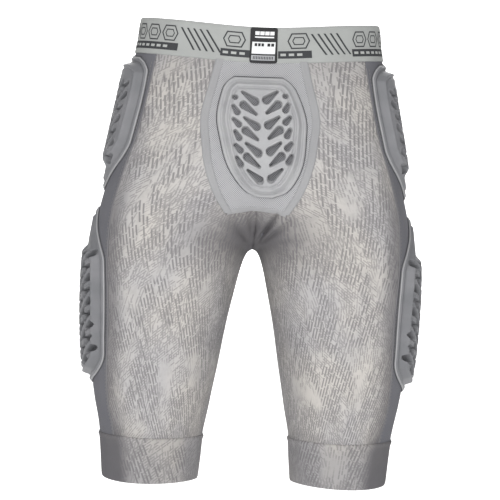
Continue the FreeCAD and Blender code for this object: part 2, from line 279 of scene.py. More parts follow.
def build(name, points, faces, uv=None, material=None, materials=None, face_slots=None, flip=False):
    """A smooth mesh object from points in millimetres; uv is in millimetres too."""
    points = np.asarray(points, dtype=float).reshape(-1, 3)
    faces = np.asarray(faces)
    if flip:
        faces = faces[:, ::-1]
    mesh = bpy.data.meshes.new(name)
    mesh.from_pydata(to_frame(points).tolist(), [], faces.tolist())
    if uv is not None:
        layer = mesh.uv_layers.new(name="mm")
        loops = np.empty(len(mesh.loops), dtype=np.int32)
        mesh.loops.foreach_get("vertex_index", loops)
        layer.data.foreach_set("uv", np.asarray(uv, dtype=float).reshape(-1, 2)[loops].ravel())
    for m in materials or [material]:
        mesh.materials.append(m)
    if face_slots is not None:
        mesh.polygons.foreach_set("material_index", np.asarray(face_slots, dtype=np.int32))
    mesh.polygons.foreach_set("use_smooth", np.ones(len(mesh.polygons), dtype=bool))
    obj = bpy.data.objects.new(name, mesh)
    bpy.context.scene.collection.objects.link(obj)
    mesh.update()
    return obj


def quads(columns, rows):
    """Faces of an open grid stored column by column."""
    i, j = np.meshgrid(np.arange(columns - 1), np.arange(rows - 1), indexing="ij")
    k = i + 1
    return np.stack([i * rows + j, k * rows + j, k * rows + j + 1, i * rows + j + 1], -1).reshape(-1, 4)


def rings(columns, rows, closed=True):
    """Faces of a grid whose columns are closed rings; closed also joins its last column to the first."""
    i, j = np.meshgrid(np.arange(columns if closed else columns - 1), np.arange(rows), indexing="ij")
    k, m = (i + 1) % columns, (j + 1) % rows
    return np.stack([i * rows + j, k * rows + j, k * rows + m, i * rows + m], -1).reshape(-1, 4)


def thicken(obj, mm):
    """Gives a sheet its thickness, inwards."""
    m = obj.modifiers.new("thickness", "SOLIDIFY")
    m.thickness, m.offset = mm / MM, -1
    return obj


def paint_print_shade(obj, points):
    """Stores painted shade on the print as its tone: painted shadow deep at the crotch, on the inner leg and
    along the side seams, and darker towards the cuffs and the waist.
    """
    x, y, z = (np.asarray(points).reshape(-1, 3)[:, k] for k in range(3))
    cx, ax = level(z)[0], level(z)[2]
    # Painted shadow round the crotch.
    crotch = 1.1 * np.exp(-np.hypot(x / 74, (z - CROTCH - 20) / 42) ** 2)
    # Painted shade on the inner leg, below the crotch.
    inner = 0.3 * smooth((cx - np.abs(x) - 0.35 * ax) / (0.65 * ax)) * smooth((CROTCH + 10 - z) / 60)
    # Painted shade along the side seams, stronger low on the leg.
    from_side = ax * np.arccos(np.clip((np.abs(x) - cx) / ax, -1, 1))
    outer = (0.3 + 0.4 * smooth((400 - z) / 80)) * smooth((curve(SIDE_PANEL)(z) + 30 - from_side) / 30)
    # Darker towards the hem and towards the waist.
    hem = 0.35 * smooth((80 - z) / 40)
    waist = 0.25 * smooth((z - 470) / 60)
    # All together: how far painted shade darkens the print.
    tone = np.clip(crotch + inner + outer + hem + waist, 0, 1)
    layer = obj.data.attributes.new("tone", "FLOAT", "POINT")
    layer.data.foreach_set("value", tone)


def cloth_blend(obj):
    """Bakes a piece's placement into its mesh."""
    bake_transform(obj)


def tube(name, path, radius, material, sides=8, closed=False, flat=1.0):
    """A tube along a path, flattened towards the body by `flat`."""
    path = np.asarray(path, dtype=float)
    ahead = np.roll(path, -1, 0) - np.roll(path, 1, 0) if closed else np.gradient(path, axis=0)
    ahead /= np.linalg.norm(ahead, axis=1, keepdims=True) + 1e-9
    out = normals(path)
    across = np.cross(ahead, out)
    across /= np.linalg.norm(across, axis=1, keepdims=True) + 1e-9
    a = np.linspace(0, 2 * math.pi, sides, endpoint=False)
    ring = (path[:, None] + radius * np.cos(a)[None, :, None] * across[:, None]
            + radius * flat * np.sin(a)[None, :, None] * out[:, None])
    length = np.concatenate([[0], np.cumsum(np.linalg.norm(np.diff(path, axis=0), axis=1))])
    uv = np.stack(np.broadcast_arrays(length[:, None], a[None] * radius), -1)
    return build(name, ring, rings(len(path), sides, closed), uv, material)


STITCH_PROFILE = ((-0.5, 0.35), (-0.3, 1.0), (0.3, 1.0), (0.5, 0.35))  # place along a stitch, and thickness
STITCH_SIDES = 6


def stitches(name, path, material, length=3.0, gap=1.6, radius=0.42, lift=0.15):
    """A row of thread stitches along a path on the right side's surface."""
    steps = np.concatenate([[0], np.cumsum(np.linalg.norm(np.diff(path, axis=0), axis=1))])
    count = max(int(steps[-1] // (length + gap)), 1)
    s = (np.arange(count) + 0.5) * steps[-1] / count
    at = lambda q: np.stack([np.interp(q, steps, path[:, c]) for c in range(3)], -1)
    centre, a, b = at(s), at(s - length / 2), at(s + length / 2)
    along = b - a
    along /= np.linalg.norm(along, axis=1, keepdims=True) + 1e-9
    out = normals(centre)
    across = np.cross(along, out)
    ring = []
    for t, size in STITCH_PROFILE:
        for q in np.arange(STITCH_SIDES) * 2 * math.pi / STITCH_SIDES:
            ring.append(centre + along * t * length + out * lift
                        + (across * math.cos(q) + out * math.sin(q)) * radius * size)
    points = np.stack(ring, 1)
    one = rings(len(STITCH_PROFILE), STITCH_SIDES, closed=False)
    faces = (np.arange(count)[:, None, None] * len(ring) + one[None]).reshape(-1, 4)
    return build(name, points, faces, None, material)


# ---------------- materials

class Nodes:
    """Short names for the shader nodes that the materials share."""

    def __init__(self, name, roughness=0.85, sheen=0.0, specular=0.3):
        self.material = bpy.data.materials.new(name)
        self.material.use_nodes = True
        self.tree = self.material.node_tree
        self.shader = self.tree.nodes["Principled BSDF"]
        self.shader.inputs["Roughness"].default_value = roughness
        self.shader.inputs["Specular IOR Level"].default_value = specular
        if sheen:
            self.shader.inputs["Sheen Weight"].default_value = sheen
            self.shader.inputs["Sheen Roughness"].default_value = 0.5
        self.uv = self.tree.nodes.new("ShaderNodeTexCoord").outputs["UV"]

    def put(self, socket, value):
        """Sets a socket to a value or links it."""
        if isinstance(value, (int, float, tuple)):
            socket.default_value = value
        else:
            self.tree.links.new(value, socket)

    def attribute(self, name):
        """A value stored on the mesh."""
        node = self.tree.nodes.new("ShaderNodeAttribute")
        node.attribute_name = name
        return node.outputs["Fac"]

    def math(self, operation, a, b=0.0, clamp=False):
        node = self.tree.nodes.new("ShaderNodeMath")
        node.operation, node.use_clamp = operation, clamp
        self.put(node.inputs[0], a)
        self.put(node.inputs[1], b)
        return node.outputs[0]

    def turned(self, degrees, scale=(1, 1, 1), shift=(0, 0, 0)):
        """The mesh's coordinates, scaled, turned and shifted."""
        node = self.tree.nodes.new("ShaderNodeMapping")
        self.put(node.inputs["Vector"], self.uv)
        node.inputs["Rotation"].default_value = (0, 0, math.radians(degrees))
        node.inputs["Scale"].default_value = scale
        node.inputs["Location"].default_value = shift
        return node.outputs[0]

    def split(self, vector):
        """A vector's x and y."""
        node = self.tree.nodes.new("ShaderNodeSeparateXYZ")
        self.put(node.inputs[0], vector)
        return node.outputs[0], node.outputs[1]

    def noise(self, vector, scale, detail=2.0, roughness=0.5):
        """Cloudy noise, about 0.5."""
        node = self.tree.nodes.new("ShaderNodeTexNoise")
        self.put(node.inputs["Vector"], vector)
        node.inputs["Scale"].default_value = scale
        node.inputs["Detail"].default_value = detail
        node.inputs["Roughness"].default_value = roughness
        return node.outputs["Fac"]

    def random(self, x, y):
        """A random value for each x, y."""
        join = self.tree.nodes.new("ShaderNodeCombineXYZ")
        self.put(join.inputs[0], x)
        self.put(join.inputs[1], y)
        node = self.tree.nodes.new("ShaderNodeTexWhiteNoise")
        node.noise_dimensions = "2D"
        self.put(node.inputs["Vector"], join.outputs[0])
        return node.outputs["Value"]

    def ramp(self, value, low, high):
        """A smooth rise from 0 at low to 1 at high."""
        node = self.tree.nodes.new("ShaderNodeMapRange")
        node.interpolation_type = "SMOOTHSTEP"
        self.put(node.inputs["Value"], value)
        node.inputs["From Min"].default_value, node.inputs["From Max"].default_value = low, high
        return node.outputs["Result"]

    def mix(self, factor, a, b):
        """Colour a at 0 and colour b at 1."""
        node = self.tree.nodes.new("ShaderNodeMix")
        node.data_type = "RGBA"
        self.put(node.inputs["Factor"], factor)
        self.put(node.inputs["A"], a)
        self.put(node.inputs["B"], b)
        return node.outputs["Result"]

    def bump(self, height, distance, strength=1.0):
        """Relief, its depth in millimetres."""
        node = self.tree.nodes.new("ShaderNodeBump")
        self.put(node.inputs["Height"], height)
        node.inputs["Distance"].default_value = distance / MM
        node.inputs["Strength"].default_value = strength
        self.put(self.shader.inputs["Normal"], node.outputs[0])

    def colour(self, value):
        """Sets the colour and returns the material."""
        self.put(self.shader.inputs["Base Color"], value)
        return self.material


def rgb(r, g, b):
    """A linear colour from 0-255 screen values."""
    linear = lambda v: (v / 255 / 12.92) if v <= 10 else ((v / 255 + 0.055) / 1.055) ** 2.4
    return (linear(r), linear(g), linear(b), 1.0)


def knit(n, pitch=1.1):
    """Fine knitted ribs, as a height from 0 to 1."""
    x, y = n.split(n.uv)
    a = n.math("SINE", n.math("MULTIPLY", x, 2 * math.pi / pitch))
    b = n.math("SINE", n.math("MULTIPLY", y, 2 * math.pi / (pitch * 0.8)))
    return n.math("MULTIPLY", n.math("ADD", n.math("MULTIPLY", a, b), 1.0), 0.5)


def strokes(n, degrees, pitch, length, fill, seed):
    """Broken parallel strokes, drawn only inside cloudy patches."""
    across, along = n.split(n.turned(degrees))
    lane = n.math("FLOOR", n.math("DIVIDE", across, pitch))
    inside = n.math("ABSOLUTE", n.math("SUBTRACT", n.math("FRACT", n.math("DIVIDE", across, pitch)), 0.5))
    line = n.ramp(inside, 0.28, 0.19)
    shifted = n.math("ADD", n.math("DIVIDE", along, length), n.math("MULTIPLY", n.random(lane, seed), 7.0))
    dash = n.random(lane, n.math("ADD", n.math("FLOOR", shifted), seed))
    ends = n.math("ABSOLUTE", n.math("SUBTRACT", n.math("FRACT", shifted), 0.5))
    drawn = n.math("MULTIPLY", n.math("LESS_THAN", dash, fill), n.ramp(ends, 0.48, 0.42))
    patch = n.ramp(n.noise(n.turned(degrees, (0.03, 0.016, 1), (seed, seed * 2, 0)), 1.0, 1.5), 0.41, 0.52)
    return n.math("MULTIPLY", n.math("MULTIPLY", line, drawn), patch)


def printed_fabric(name, lean):
    """Light stretch cloth printed all over with hatched strokes; lean turns the strokes."""
    n = Nodes(name, roughness=0.95, specular=0.15)
    cloud = n.ramp(n.noise(n.turned(20, (0.011, 0.008, 1)), 1.0, 3.0), 0.35, 0.65)
    base = n.mix(cloud, PRINT_COOL, PRINT_WARM)
    blot = n.ramp(n.noise(n.turned(-15, (0.06, 0.045, 1)), 1.0, 4.0, 0.65), 0.45, 0.7)
    base = n.mix(n.math("MULTIPLY", blot, 0.35), base, PRINT_DARK)
    long_marks = strokes(n, 19 * lean, pitch=4.1, length=15.0, fill=0.8, seed=3.0)
    short_marks = strokes(n, -50 * lean, pitch=2.9, length=7.0, fill=0.62, seed=11.0)
    fine_marks = strokes(n, 6 * lean, pitch=3.2, length=6.0, fill=0.6, seed=23.0)
    cross_marks = strokes(n, -15 * lean, pitch=3.5, length=12.0, fill=0.6, seed=41.0)
    long_marks = n.math("MAXIMUM", long_marks, n.math("MULTIPLY", cross_marks, 0.55))
    ink = n.math("MAXIMUM", long_marks, n.math("MULTIPLY", n.math("MAXIMUM", short_marks, fine_marks), 0.7))
    # Painted shade: the print darkens towards its deepest grey where the stored tone is high.
    base = n.mix(n.math("MULTIPLY", n.attribute("tone"), 0.85), base, PRINT_PAINTED_SHADE)
    n.bump(knit(n), 0.25, 0.5)
    return n.colour(n.mix(n.math("MULTIPLY", ink, 0.67), base, PRINT_INK))


def plain_fabric(name, colour, dark, pitch=1.3, bump=0.3):
    """Ribbed cloth or tape, darker between its ribs."""
    n = Nodes(name, roughness=0.9, specular=0.2)
    ribs = knit(n, pitch)
    tone = n.noise(n.turned(0, (0.02, 0.02, 1)), 1.0, 3.0)
    n.bump(ribs, bump, 0.6)
    shade = n.math("ADD", n.math("MULTIPLY", ribs, 0.5), n.math("MULTIPLY", tone, 0.6))
    return n.colour(n.mix(n.ramp(shade, 0.1, 0.9), dark, colour))


def dotted_mesh(name, colour, hole, pitch=3.4):
    """Open mesh cloth: dark holes in a staggered grid."""
    n = Nodes(name, roughness=0.9, sheen=0.15)
    x, y = n.split(n.uv)
    row = n.math("FLOOR", n.math("DIVIDE", y, pitch * 0.5))
    shift = n.math("MULTIPLY", n.math("MODULO", row, 2.0), 0.5)
    a = n.math("SUBTRACT", n.math("FRACT", n.math("ADD", n.math("DIVIDE", x, pitch), shift)), 0.5)
    b = n.math("MULTIPLY", n.math("SUBTRACT", n.math("FRACT", n.math("DIVIDE", y, pitch * 0.5)), 0.5), 0.5)
    r = n.math("SQRT", n.math("ADD", n.math("MULTIPLY", a, a), n.math("MULTIPLY", b, b)))
    dot = n.ramp(r, 0.22, 0.13)
    n.bump(n.math("SUBTRACT", 1.0, dot), 0.4, 0.8)
    return n.colour(n.mix(dot, colour, hole))


def foam(name, colour, dark):
    """Moulded foam, or a label's smooth face."""
    n = Nodes(name, roughness=0.55, specular=0.35)
    grain = n.noise(n.uv, 1.6, 3.0)
    tone = n.noise(n.turned(0, (0.03, 0.03, 1)), 1.0, 3.0)
    n.bump(grain, 0.12, 0.4)
    return n.colour(n.mix(n.ramp(tone, 0.3, 0.7), dark, colour))


PRINT_WARM, PRINT_COOL = rgb(189, 185, 180), rgb(176, 174, 174)
# The last of these is the painted shade that the print darkens towards.
PRINT_DARK, PRINT_INK, PRINT_PAINTED_SHADE = rgb(150, 148, 147), rgb(100, 98, 101), rgb(74, 73, 78)
printed = {1: printed_fabric("printed_fabric_right", 1), -1: printed_fabric("printed_fabric_left", -1)}
side_cloth = plain_fabric("side_fabric", rgb(112, 112, 117), rgb(96, 96, 101))
tape = plain_fabric("binding_tape", rgb(160, 160, 161), rgb(144, 144, 146), 1.0)
mesh_cloth = dotted_mesh("mesh_fabric", rgb(168, 168, 170), rgb(98, 98, 102), 2.6)
# The backing mesh down the pads' slots: a darker mesh, made darker still as painted shade in the slots.
backing = dotted_mesh("backing_mesh", rgb(128, 128, 131), rgb(64, 64, 67), 2.8)
pad_foam = foam("pad_foam", rgb(164, 164, 165), rgb(154, 154, 156))
side_foam = foam("pad_foam_side", rgb(122, 122, 125), rgb(110, 111, 114))
elastic = plain_fabric("waist_elastic", rgb(168, 170, 168), rgb(150, 152, 150), 1.6, 0.4)
motif_dark = plain_fabric("motif_dark", rgb(68, 69, 71), rgb(58, 59, 61), 1.6)
motif_light = plain_fabric("motif_light", rgb(176, 178, 176), rgb(160, 162, 160), 1.6)
label_black = foam("label_black", rgb(30, 30, 32), rgb(24, 24, 26))
label_white = foam("label_white", rgb(226, 227, 228), rgb(214, 215, 216))
label_grey = foam("label_grey", rgb(168, 169, 172), rgb(156, 157, 160))
piping = foam("pad_piping", rgb(158, 158, 160), rgb(148, 148, 150))
seam_dark = plain_fabric("seam_dark", rgb(96, 96, 99), rgb(84, 84, 87), 1.0)
thread = plain_fabric("thread", rgb(128, 127, 127), rgb(112, 111, 111), 1.0)
seam_tape = plain_fabric("seam_tape", rgb(128, 127, 129), rgb(114, 113, 116), 1.0)


# ---------------- cloth panels

FIT_FROM = 420.0  # above this level a panel's rows follow the slant of the waistband
TUCK = 4  # how far the panels run up behind the band
CLOTH_THICKNESS = 1.4
MEAN_RADIUS = 95.0  # turns an angle round the leg into millimetres of cloth
PANEL_BOTTOM, PANEL_TOP = CUFF_TOP - 3, 540.0


def panel(name, start, end, rows, columns, material):
    """Both sides' panel between two edge angles, from the cuff to the waistband."""
    u = np.linspace(0, 1, columns)[:, None]
    z = np.broadcast_to(rows[None, :], (columns, len(rows))).copy()
    even = z
    for _ in range(4):
        a, b = start(z), end(z)
        p = on_leg(a + u * (b - a), z)
        limit = band_bottom(np.arctan2(p[..., 1], p[..., 0])) + TUCK
        fitted = FIT_FROM + (even - FIT_FROM) / (rows[-1] - FIT_FROM) * (limit - FIT_FROM)
        z = np.where(even > FIT_FROM, fitted, even)
    a, b = start(z), end(z)
    angle = a + u * (b - a)
    p = on_leg(angle, z)
    uv = np.stack([angle * MEAN_RADIUS, z], -1)
    out = []
    for side, sign in SIDES:
        obj = build(f"{name}_{side}", mirrored(skin(p, 0.0, sign), sign), quads(columns, len(rows)),
                    uv * np.array([sign, 1]), material[sign] if isinstance(material, dict) else material,
                    flip=sign < 0)
        thicken(obj, CLOTH_THICKNESS)
        paint_print_shade(obj, mirrored(p, sign))
        cloth_blend(obj)
        out.append((obj, side))
    return out


half_side = curve(SIDE_PANEL)
back_edge = lambda z: side_angle(-half_side(z), z)
front_edge = lambda z: side_angle(half_side(z), z)
# Rows of points up a panel, closest together just above the crotch.
above = CROTCH + (PANEL_TOP - CROTCH) * np.linspace(0, 1, 110) ** 1.7
ROWS = np.concatenate([np.linspace(PANEL_BOTTOM, CROTCH, 90, endpoint=False), above])

for obj, side in panel("printed_back", lambda z: centre_angle(z, -1), back_edge, ROWS, 90, printed):
    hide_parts(f"seat_panel_{side}", f"hip_crease_back_{side}", f"thigh_back_panel_{side}")
for obj, side in panel("printed_front", front_edge, lambda z: centre_angle(z, 1), ROWS, 90, printed):
    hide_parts(f"front_panel_{side}", f"hip_crease_front_{side}", f"thigh_front_panel_{side}")
for obj, side in panel("side_panel", back_edge, front_edge, ROWS, 50, side_cloth):
    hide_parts(f"hip_side_panel_{side}", f"hip_crease_side_{side}", f"thigh_side_panel_{side}")

# ---------------- seams along the panels

SEAM_TOP, SEAM_RADIUS, SEAM_FLAT, SEAM_LIFT = 520, 1.1, 0.6, 0.2
STITCH_OFFSET = 0.036  # radians round the leg, from a seam to its row of stitches
seam_z = np.linspace(CUFF_TOP, SEAM_TOP, 260)
for seam, edge in (("back", back_edge), ("front", front_edge)):
    path = skin(on_leg(edge(seam_z), seam_z), SEAM_LIFT)
    for side, sign in SIDES:
        obj = tube(f"side_seam_{seam}_{side}", mirrored(path, sign), SEAM_RADIUS, seam_tape, flat=SEAM_FLAT)
        cloth_blend(obj)
        row = on_leg(edge(seam_z) + STITCH_OFFSET, seam_z)
        thread_row = stitches(f"side_stitch_{seam}_{side}", skin(row), thread)
        if sign < 0:
            thread_row.data.transform(Matrix.Scale(-1, 4, Vector((1, 0, 0))))
            thread_row.data.flip_normals()
        cloth_blend(thread_row)

# ---------------- cuffs

CUFF_COLUMNS, CUFF_RADIUS = 160, 60
CUFF_WAVE, CUFF_SAG, CUFF_LOWEST = 0.8, 1.2, -6  # in and out, up and down, and as low as the hem may hang
# Once round the folded cuff's section: height, and how far it stands off the leg.
CUFF_PROFILE = np.array((
    (0.9, -1.7), (0.2, -0.6), (0.5, 0.5), (2.5, 0.9), (8, 1.0), (18, 1.0), (30, 1.0), (42, 1.0), (50, 1.0),
    (52.5, 1.5), (54, 2.0), (55.5, 1.5), (56.6, 0.8), (57, -0.2), (50, -1.8), (30, -1.8), (10, -1.8),
    (2, -1.9),
))
cuff_u = np.linspace(-math.pi, math.pi, CUFF_COLUMNS, endpoint=False)[:, None]
cz = CUFF_PROFILE[None, :, 0] + 0 * cuff_u
wave = CUFF_WAVE * np.sin(cuff_u * 3 + 0.7) * smooth(1 - cz / 40)
cp = on_leg(cuff_u + 0 * cz, cz)
cp = cp + normals(cp) * (CUFF_PROFILE[None, :, 1] + drape(cp) + wave)[..., None]
cp[..., 2] += CUFF_SAG * np.sin(cuff_u * 2 + 0.4) * smooth(1 - cz / 30)
cp[..., 2] = np.maximum(cp[..., 2], CUFF_LOWEST)
cuv = np.stack([cuff_u * CUFF_RADIUS + 0 * cz, cz], -1)
cuff_faces = rings(*cp.shape[:2])
for side, sign in SIDES:
    obj = build(f"cuff_band_{side}", mirrored(cp, sign), cuff_faces, cuv * np.array([sign, 1]),
                printed[sign], flip=sign < 0)
    paint_print_shade(obj, mirrored(cp, sign))
    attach(obj, f"{side}_leg")
    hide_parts(f"cuff_{side}")

# ---------------- waistband

# Once round the band's section: height above its lower edge, and how far it stands off the body.
BAND_PROFILE = np.array((
    (0, -1.2), (-0.6, 0.0), (0, 1.1), (1.2, 1.5), (6, 1.5), (14, 1.5), (22, 1.5), (30, 1.5), (38, 1.5),
    (42.2, 1.3), (43.2, 0.2), (42.6, -1.0), (39, -1.3), (20, -1.3),
))
BAND_COLUMNS, GIRTH_STEPS = 400, 721
wu = np.linspace(-math.pi, math.pi, BAND_COLUMNS, endpoint=False)[:, None]
wp = on_waist(wu + 0 * BAND_PROFILE[None, :, 0], BAND_PROFILE[None, :, 0] + 0 * wu)
wp = wp + normals(wp) * (BAND_PROFILE[None, :, 1] + 0 * wu)[..., None]
girth_angles = np.linspace(-math.pi / 2, 1.5 * math.pi, GIRTH_STEPS)
mid = on_waist(girth_angles, BAND_HEIGHT / 2 + np.zeros(GIRTH_STEPS))
arc = np.concatenate([[0], np.cumsum(np.linalg.norm(np.diff(mid, axis=0), axis=1))])
GIRTH = float(arc[-1])


def waist_angle(s):
    """The angle s mm round the band from the centre back, towards the right."""
    return np.interp(np.mod(s, GIRTH), arc, girth_angles)


wuv = np.stack(np.broadcast_arrays(wu * GIRTH / (2 * math.pi), BAND_PROFILE[None, :, 0]), -1)
band = build("waist_elastic", wp, rings(*wp.shape[:2]), wuv, elastic)
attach(band, "pelvis")
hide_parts("waistband")


DARK_LIFT, LIGHT_LIFT = 1.75, 1.95  # how far the band's two inks stand off the body


def on_band(s, t, lift):
    """Points s mm round the band and t mm above its lower edge."""
    p = on_waist(waist_angle(s), t)
    return p + normals(p) * lift


def band_patch(corners, lift):
    """A four-cornered patch on the band, as points and faces; corners are (s, t)."""
    splits = 4 + int(abs(corners[1][0] - corners[0][0]) / 4)
    u = np.linspace(0, 1, splits)
    c = np.array(corners, dtype=float)
    left = c[0] + (c[3] - c[0]) * u[:, None]
    right = c[1] + (c[2] - c[1]) * u[:, None]
    st = left[None] + (right - left)[None] * u[:, None, None]
    return on_band(st[..., 0], st[..., 1], lift), quads(splits, splits), st


def motif(name, patches, material, lift):
    """Many patches joined as one thin printed piece."""
    points, faces, uv, base = [], [], [], 0
    for corners in patches:
        p, f, st = band_patch(corners, lift)
        points.append(p.reshape(-1, 3))
        faces.append(f + base)
        uv.append(st.reshape(-1, 2))
        base += len(points[-1])
    obj = build(name, np.concatenate(points), np.concatenate(faces), np.concatenate(uv), material)
    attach(obj, "pelvis")
    return obj


def box_at(s, t, width, height, slant=0.0):
    """The corners of a slanted box about a point on the band."""
    a, b = s - width / 2, s + width / 2
    lo, hi = t - height / 2, t + height / 2
    at_lo, at_hi = slant * (lo - t), slant * (hi - t)
    return (a - at_lo, lo), (b - at_lo, lo), (b - at_hi, hi), (a - at_hi, hi)


def hexagon(s, t, width, height, line):
    """An outlined six-sided badge, as the patches of its six edges."""
    w, h, k = width / 2, height / 2, height / 4
    outer = [(-w, 0), (-w + k, h), (w - k, h), (w, 0), (w - k, -h), (-w + k, -h)]
    shrink = 1 - line / h
    out = []
    for a, b in zip(outer, outer[1:] + outer[:1]):
        inner = [((q[0] / w) * (w - line * 1.1), q[1] * shrink) for q in (b, a)]
        out.append([(s + q[0], t + q[1]) for q in (a, b, *inner)])
    return out


REPEATS = 5
PERIOD = GIRTH / REPEATS
PATTERN_START = 5  # the first badge's middle, round the band from the centre back
BADGE_LEVEL, BADGE_HEIGHT, BADGE_LINE, BADGE_GAP = 26.5, 19.0, 1.5, 26.0
INNER_WIDTH, INNER_HEIGHT, INNER_LINE = 0.58, 0.5, 1.2  # the hexagon inside a badge, as parts of its size
BAR_LEVEL, BAR_HEIGHT, DASH_WIDTH, DASH_HEIGHT, DASH_PITCH, BAR_END = 10.0, 9.0, 6.4, 3.0, 10, 6
SLASH_COUNT, SLASH_LEVEL, SLASH_WIDTH, SLASH_HEIGHT = 5, 21.5, 2.6, 26
dark = []
light = []
for k in range(REPEATS):
    centre = PATTERN_START + k * PERIOD
    pitch, slant = (8.2, 0.72) if k % 2 == 0 else (6.6, 0.3)
    for m in range(SLASH_COUNT):
        across = (m - SLASH_COUNT // 2) * pitch
        dark.append(box_at(centre + PERIOD / 2 + across, SLASH_LEVEL, SLASH_WIDTH, SLASH_HEIGHT, slant))
    if k == 0:  # the size label hides the middle of this badge
        badges, bars = ((-39, 28), (39, 28)), ((-55, -17), (14, 55))
    else:
        badges, bars = tuple(((m - 1.5) * BADGE_GAP, 24) for m in range(4)), ((-52, 52),)
    for across, width in badges:
        s = centre + across
        dark += hexagon(s, BADGE_LEVEL, width, BADGE_HEIGHT, BADGE_LINE)
        dark += hexagon(s, BADGE_LEVEL, width * INNER_WIDTH, BADGE_HEIGHT * INNER_HEIGHT, INNER_LINE)
    for a, b in bars:
        dark.append(box_at(centre + (a + b) / 2, BAR_LEVEL, b - a, BAR_HEIGHT))
        for q in range(int((b - a - BAR_END) // DASH_PITCH)):
            light.append(box_at(centre + a + BAR_END + DASH_PITCH * q, BAR_LEVEL, DASH_WIDTH, DASH_HEIGHT))
motif("band_motif_dark", dark, motif_dark, DARK_LIFT)
motif("band_motif_light", light, motif_light, LIGHT_LIFT)

# ---------------- size label

LABEL_CENTRE, LABEL_WIDTH, LABEL_HEIGHT, LABEL_CORNER = 1.5, 33.0, 43.4, 3.0
LABEL_TURN, LABEL_DROP = -0.035, -0.6  # the label leans a little, and hangs just below the band
LABEL_LIFT, LABEL_LAYER = 2.1, 0.25  # its lift, and how far each print layer stands off the last


def label_box(across, up, width, height):
    """A rectangle on the label, measured from the middle of its lower edge."""
    s = LABEL_CENTRE + across - LABEL_TURN * (up - 20)
    return box_at(s, up + LABEL_DROP, width, height, LABEL_TURN)


def label_outline(width, height, corner):
    """A rounded rectangle as a stack of strips."""
    left, right = LABEL_CENTRE - width / 2, LABEL_CENTRE + width / 2
    low, high = LABEL_DROP, LABEL_DROP + height
    strips = [box_at(LABEL_CENTRE, height / 2 + LABEL_DROP, width, height - 2 * corner)]
    rise = np.linspace(0, corner, 13)
    for t0, t1 in zip(rise[:-1], rise[1:]):
        in0, in1 = (corner - math.sqrt(corner ** 2 - (corner - t) ** 2) for t in (t0, t1))
        for z0, z1, x0, x1 in ((low + t0, low + t1, in0, in1), (high - t1, high - t0, in1, in0)):
            strips.append([(left + x0, z0), (right - x0, z0), (right - x1, z1), (left + x1, z1)])
    return strips


# Across, up, width and height of the blocks that stand for the label's lines.
label_marks = [label_box(q, 36.4, 5.2, 4.4) for q in (-8.6, -2.6, 3.4, 9.4)]
label_marks.append(label_box(0.3, 31.6, 23, 1.6))
text_blocks = ((-9.5, 3.0), (-5.4, 3.0), (-1.3, 3.0), (6.0, 3.4), (10.6, 3.4))
label_text = [label_box(q, 22.4, w, 3.6) for q, w in text_blocks]
foot_marks = [label_box(q, 6.5, 0.9, 3.6) for q in np.arange(-11.5, 12, 1.9)]
label_parts = (
    ("label_base", label_black, 0, label_outline(LABEL_WIDTH, LABEL_HEIGHT, LABEL_CORNER)),
    ("label_panel", label_white, 1, [label_box(0, 18.6, 28, 14.4)] + label_marks),
    ("label_foot", label_grey, 1, [label_box(0, 6.5, 28, 6.2)]),
    ("label_text", label_black, 2, label_text + foot_marks),
)
for name, material, layer, patches in label_parts:
    obj = motif(name, patches, material, LABEL_LIFT + layer * LABEL_LAYER)
    if name == "label_base":
        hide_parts("waistband_label")

# ---------------- mesh shield and its binding

half_mesh = curve(MESH_PANEL)
SHIELD_LOW, SHIELD_HIGH, SHIELD_ARCH = 348.0, 526.0, 5  # its lower and upper edges, and the lower one's arch
SHIELD_COLUMNS, SHIELD_ROWS, SHIELD_LIFT, SHIELD_THICKNESS = 70, 90, 0.7, 0.6


def mesh_rows(u, v):
    """Heights over the shield; its lower edge is a shallow arch."""
    return SHIELD_LOW + v * (SHIELD_HIGH - SHIELD_LOW) - SHIELD_ARCH * (1 - v) * (np.abs(2 * u - 1) ** 2)


u, v = np.linspace(0, 1, SHIELD_COLUMNS)[:, None], np.linspace(0, 1, SHIELD_ROWS)[None, :]
mz = mesh_rows(u, v)
mp = on_back((2 * u - 1) * half_mesh(mz), mz)
shield = build("mesh_shield", skin(mp, SHIELD_LIFT), quads(SHIELD_COLUMNS, SHIELD_ROWS),
               np.stack([mp[..., 0], mz], -1), mesh_cloth)
thicken(shield, SHIELD_THICKNESS)
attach(shield, "pelvis")
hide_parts("tailbone_mesh_panel")

# Across the tape that binds the shield: distance from its middle, and how far it stands off the cloth.
TAPE_PROFILE = np.array((
    (-5.2, 0.6), (-4.6, 1.5), (-3.4, 1.9), (-1.5, 1.7), (0, 1.65), (1.5, 1.7), (3.4, 1.9), (4.6, 1.4),
    (5.2, 0.3),
))
TAPE_LOW, TAPE_ROWS, TAPE_INSET = 342, 120, 1.0
tape_across, tape_lift = TAPE_PROFILE[:, 0][:, None], TAPE_PROFILE[:, 1][:, None]
tz = np.linspace(TAPE_LOW, SHIELD_HIGH, TAPE_ROWS)[None, :]
tp = on_back(half_mesh(tz) - TAPE_INSET + tape_across, tz + 0 * tape_across)
tp = skin(tp, tape_lift)
for side, sign in SIDES:
    obj = build(f"seat_tape_{side}", mirrored(tp, sign), quads(len(TAPE_PROFILE), TAPE_ROWS),
                np.stack(np.broadcast_arrays(tape_across, tz), -1), tape, flip=sign < 0)
    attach(obj, "pelvis")
    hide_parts(f"seat_binding_{side}")

